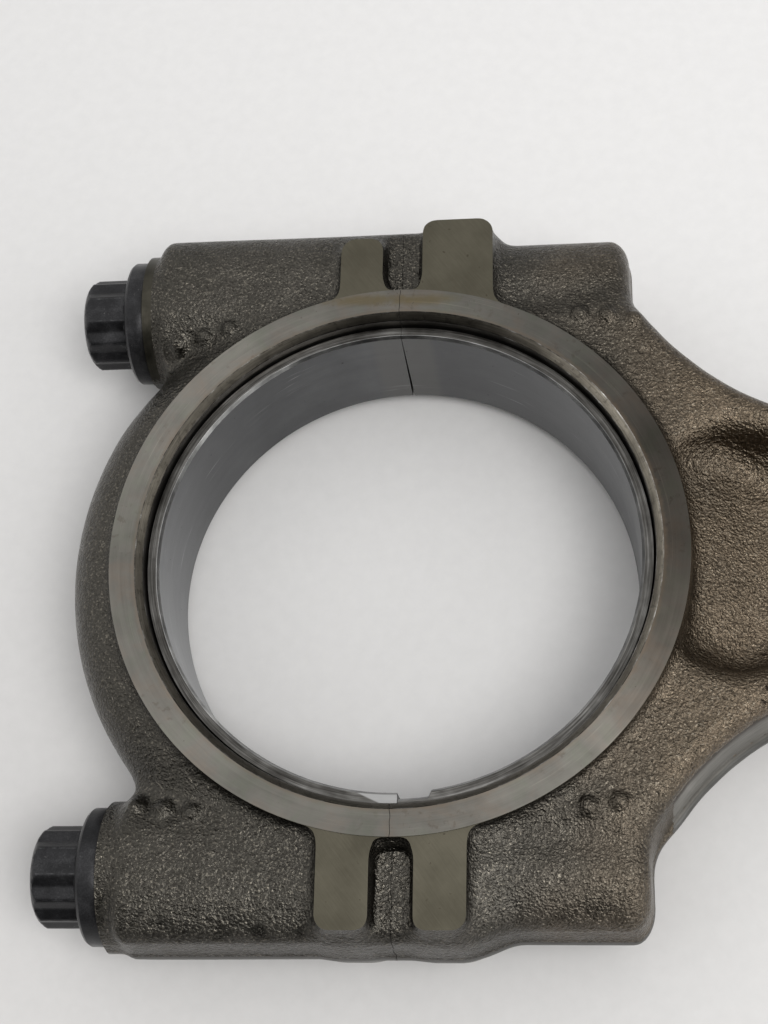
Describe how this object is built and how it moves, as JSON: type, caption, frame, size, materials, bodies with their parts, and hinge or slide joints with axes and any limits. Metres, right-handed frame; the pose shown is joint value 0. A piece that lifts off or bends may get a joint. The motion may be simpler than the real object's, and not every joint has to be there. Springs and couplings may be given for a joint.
{
  "type": "connecting rod",
  "caption": "Forged, fracture-split engine connecting rod with a bearing cap, split plain bearing shells, twelve-point cap bolts and a small-end bush.",
  "frame": {"origin": "centre of the bottom of the bounding box, on the surface the rod lies on", "axes": "+X along the rod from the bearing cap to the small end, +Y across the rod, +Z parallel to both bore axes"},
  "size_m": [0.3612, 0.1424, 0.0332],
  "materials": {
    "forged_steel": "shot-blasted forging skin with ground faces",
    "shell_back_steel": "rolled and deburred",
    "bearing_lining": "fine-bored grey bearing alloy, lightly run in",
    "black_bolt": "black phosphate, lightly oiled",
    "bush_bronze": "fine-bored bronze on a steel back"
  },
  "bodies": {
    "rod": {"connecting_rod": "forged_steel", "rod_shell_back": "shell_back_steel", "rod_shell_lining": "bearing_lining", "small_end_bush": "bush_bronze"},
    "cap": {"bearing_cap": "forged_steel", "cap_shell_back": "shell_back_steel", "cap_shell_lining": "bearing_lining"},
    "bolt_left": {"cap_bolt_left": "black_bolt"},
    "bolt_right": {"cap_bolt_right": "black_bolt"}
  },
  "joints": [
    {"name": "cap_pull_off", "type": "slide", "parent": "rod", "child": "cap", "axis": [-1, 0, 0], "range_m": [0, 0.1]},
    {"name": "bolt_left_unscrew", "type": "slide", "parent": "cap", "child": "bolt_left", "axis": [-1, 0, 0], "range_m": [0, 0.1]},
    {"name": "bolt_right_unscrew", "type": "slide", "parent": "cap", "child": "bolt_right", "axis": [-1, 0, 0], "range_m": [0, 0.1]}
  ]
}
